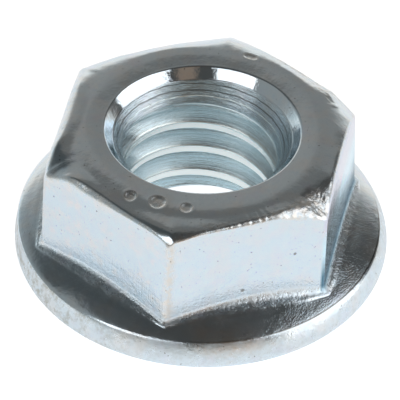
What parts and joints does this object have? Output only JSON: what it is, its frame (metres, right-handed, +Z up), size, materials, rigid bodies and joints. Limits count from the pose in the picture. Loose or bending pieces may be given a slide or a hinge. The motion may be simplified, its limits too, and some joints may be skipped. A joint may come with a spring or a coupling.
{
  "type": "serrated hexagon flange nut",
  "caption": "Zinc-plated steel hexagon nut with a built-in flange whose underside carries ratchet serrations; right-hand thread, crowned top.",
  "frame": {"origin": "on the thread's axis, in the bearing plane that the tips of the serrations touch", "axes": "+Z up along the thread's axis, from the serrated face to the crowned top face; -Y towards one corner of the hexagon; +X towards the middle of a flat"},
  "size_m": [0.0166, 0.0166, 0.0069],
  "materials": {
    "zinc": "satin, zinc plated with a clear blue passivate"
  },
  "bodies": {
    "root": {"flange_nut": "zinc"}
  },
  "joints": []
}
